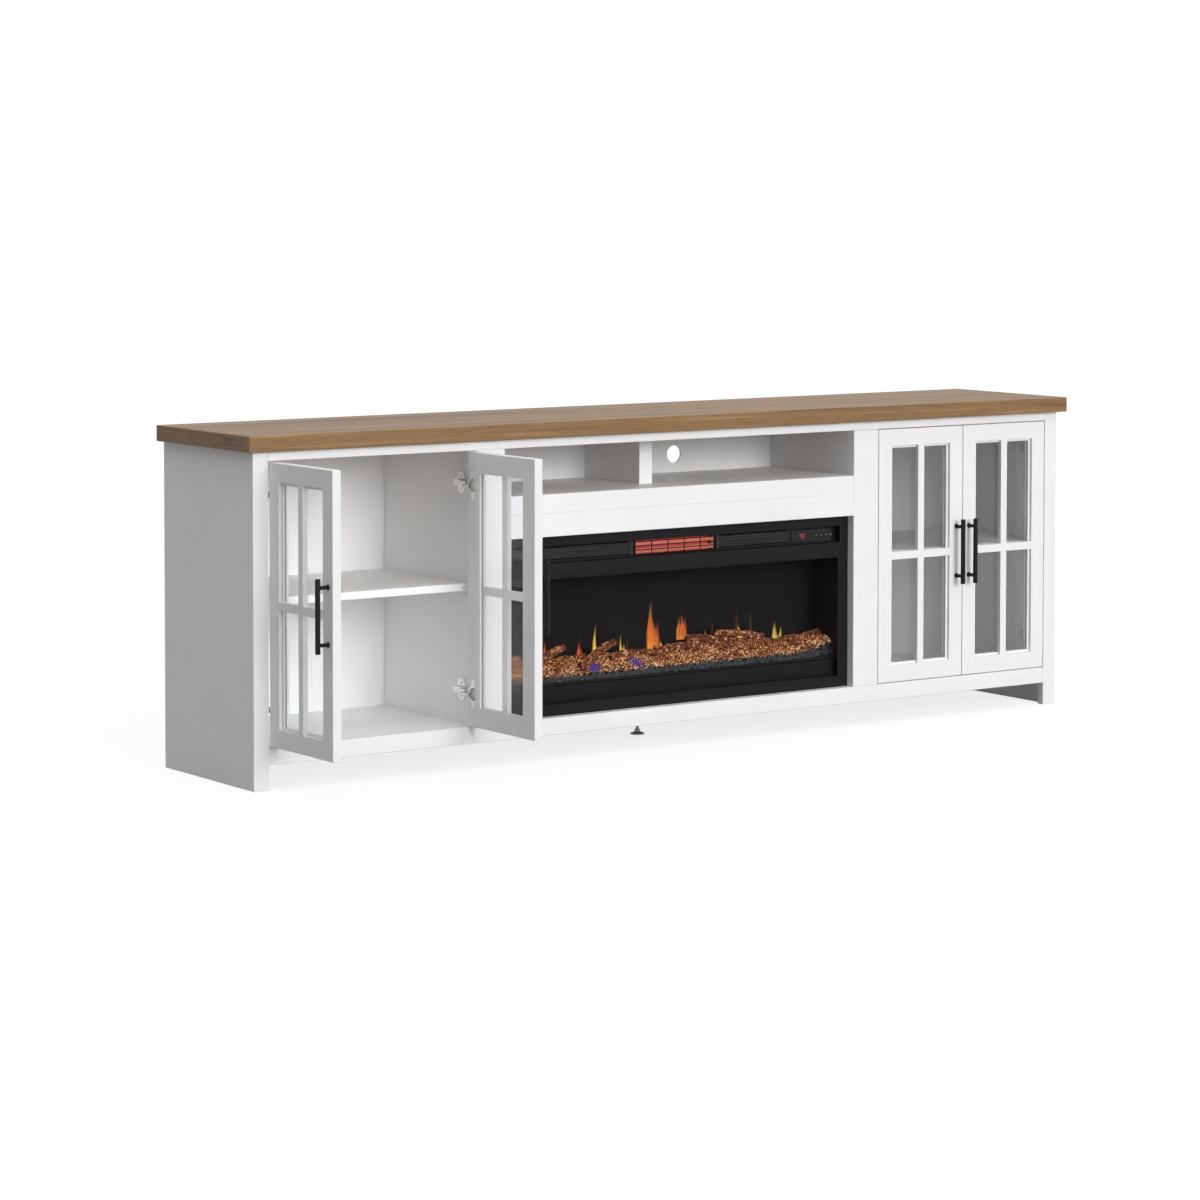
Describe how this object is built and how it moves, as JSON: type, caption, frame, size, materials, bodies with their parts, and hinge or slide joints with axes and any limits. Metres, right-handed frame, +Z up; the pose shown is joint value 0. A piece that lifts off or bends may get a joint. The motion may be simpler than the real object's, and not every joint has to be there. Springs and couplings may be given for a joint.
{
  "type": "fireplace tv stand",
  "caption": "Long media cabinet with glazed double doors at both ends, an open media bay and a built-in electric fire.",
  "frame": {"origin": "on the floor under the middle of the cabinet, at the centre of the levelling foot's pad", "axes": "+X along the width to the viewer's right, +Y from the front to the back, +Z up; the doors face -Y"},
  "size_m": [2.4716, 0.7008, 0.8128],
  "materials": {
    "oak_top": "satin laminate with a golden oak grain",
    "white_paint": "satin white over embossed wood grain",
    "clear_glass": "polished",
    "black_metal": "matte black powder coat",
    "nickel": "nickel plate",
    "grey_metal": "grey, zinc-like",
    "fire_black": "fine black powder coat",
    "fire_glass": "smoked, polished",
    "glowing_quartz": "glowing red-orange",
    "black_gloss": "gloss black",
    "embers": "moulded coals and logs, lit from below",
    "flame_screen": "dark frosted screen",
    "bright_vanes": "bright"
  },
  "bodies": {
    "root": {"top_slab": "oak_top", "left_side_panel": "white_paint", "right_side_panel": "white_paint", "left_front_post": "white_paint", "right_front_post": "white_paint", "left_middle_stile": "white_paint", "right_middle_stile": "white_paint", "left_hinge_strip": "white_paint", "right_hinge_strip": "white_paint", "left_partition": "white_paint", "right_partition": "white_paint", "left_centre_side": "white_paint", "right_centre_side": "white_paint", "left_back_panel": "white_paint", "right_back_panel": "white_paint", "left_shelf": "white_paint", "right_shelf": "white_paint", "top_rail": "white_paint", "bottom_rail": "white_paint", "insert_header_rail": "white_paint", "bottom_panel": "white_paint", "media_shelf": "white_paint", "media_divider": "white_paint", "media_back_panel": "white_paint", "insert_fascia": "fire_black", "insert_housing": "fire_black", "insert_glass": "fire_glass", "heater_elements": "glowing_quartz", "heater_guard": "black_metal", "control_panel": "black_gloss", "power_inlet": "black_gloss", "ember_tray": "fire_black", "ember_bed": "embers", "flame_screen": "flame_screen"},
    "left_outer_door": {"left_outer_door_frame": "white_paint", "left_outer_door_glass": "clear_glass", "left_outer_door_pull": "black_metal"},
    "left_inner_door": {"left_inner_door_frame": "white_paint", "left_inner_door_glass": "clear_glass", "left_inner_door_pull": "black_metal"},
    "right_inner_door": {"right_inner_door_frame": "white_paint", "right_inner_door_glass": "clear_glass", "right_inner_door_pull": "black_metal"},
    "right_outer_door": {"right_outer_door_frame": "white_paint", "right_outer_door_glass": "clear_glass", "right_outer_door_pull": "black_metal"},
    "left_outer_links": {"left_outer_lower_hinge_link": "nickel", "left_outer_upper_hinge_link": "nickel"},
    "left_inner_links": {"left_inner_lower_hinge_link": "nickel", "left_inner_upper_hinge_link": "nickel"},
    "right_inner_links": {"right_inner_lower_hinge_link": "nickel", "right_inner_upper_hinge_link": "nickel"},
    "right_outer_links": {"right_outer_lower_hinge_link": "nickel", "right_outer_upper_hinge_link": "nickel"},
    "levelling_foot": {"centre_foot": "grey_metal"},
    "flicker_spindle": {"flame_spindle": "bright_vanes"},
    "power_button": {"power_button": "black_gloss"},
    "flame_button": {"flame_button": "black_gloss"},
    "heat_button": {"heat_button": "black_gloss"},
    "timer_button": {"timer_button": "black_gloss"}
  },
  "joints": [
    {"name": "left_outer_door_hinge", "type": "hinge", "parent": "root", "child": "left_outer_door", "pos_m": [-1.17385, -0.20065, 0.4259], "axis": [0, 0, -1], "range_deg": [-90, 10]},
    {"name": "left_inner_door_hinge", "type": "hinge", "parent": "root", "child": "left_inner_door", "pos_m": [-0.613, -0.20065, 0.4259], "axis": [0, 0, 1], "range_deg": [-90, 10]},
    {"name": "right_inner_door_hinge", "type": "hinge", "parent": "root", "child": "right_inner_door", "pos_m": [0.613, -0.20065, 0.4259], "axis": [0, 0, -1], "range_deg": [0, 100]},
    {"name": "right_outer_door_hinge", "type": "hinge", "parent": "root", "child": "right_outer_door", "pos_m": [1.17385, -0.20065, 0.4259], "axis": [0, 0, 1], "range_deg": [0, 100]},
    {"name": "left_outer_link_turn", "type": "hinge", "parent": "root", "child": "left_outer_links", "pos_m": [-1.17385, -0.20065, 0.4259], "axis": [0, 0, -1], "range_deg": [-45, 5]},
    {"name": "left_inner_link_turn", "type": "hinge", "parent": "root", "child": "left_inner_links", "pos_m": [-0.613, -0.20065, 0.4259], "axis": [0, 0, 1], "range_deg": [-45, 5]},
    {"name": "right_inner_link_turn", "type": "hinge", "parent": "root", "child": "right_inner_links", "pos_m": [0.613, -0.20065, 0.4259], "axis": [0, 0, -1], "range_deg": [0, 50]},
    {"name": "right_outer_link_turn", "type": "hinge", "parent": "root", "child": "right_outer_links", "pos_m": [1.17385, -0.20065, 0.4259], "axis": [0, 0, 1], "range_deg": [0, 50]},
    {"name": "foot_height", "type": "slide", "parent": "root", "child": "levelling_foot", "axis": [0, 0, 1], "range_m": [0, 0.01]},
    {"name": "spindle_spin", "type": "hinge", "parent": "root", "child": "flicker_spindle", "pos_m": [0, -0.01865, 0.232], "axis": [1, 0, 0], "continuous": true},
    {"name": "power_press", "type": "slide", "parent": "root", "child": "power_button", "axis": [0, 1, 0], "range_m": [0, 0.0008], "stiffness_N_per_m": 800},
    {"name": "flame_press", "type": "slide", "parent": "root", "child": "flame_button", "axis": [0, 1, 0], "range_m": [0, 0.0008], "stiffness_N_per_m": 800},
    {"name": "heat_press", "type": "slide", "parent": "root", "child": "heat_button", "axis": [0, 1, 0], "range_m": [0, 0.0008], "stiffness_N_per_m": 800},
    {"name": "timer_press", "type": "slide", "parent": "root", "child": "timer_button", "axis": [0, 1, 0], "range_m": [0, 0.0008], "stiffness_N_per_m": 800}
  ],
  "couplings": [
    {"joint": "left_outer_link_turn", "follows": "left_outer_door_hinge", "ratio": 0.5},
    {"joint": "left_inner_link_turn", "follows": "left_inner_door_hinge", "ratio": 0.5},
    {"joint": "right_inner_link_turn", "follows": "right_inner_door_hinge", "ratio": 0.5},
    {"joint": "right_outer_link_turn", "follows": "right_outer_door_hinge", "ratio": 0.5}
  ]
}
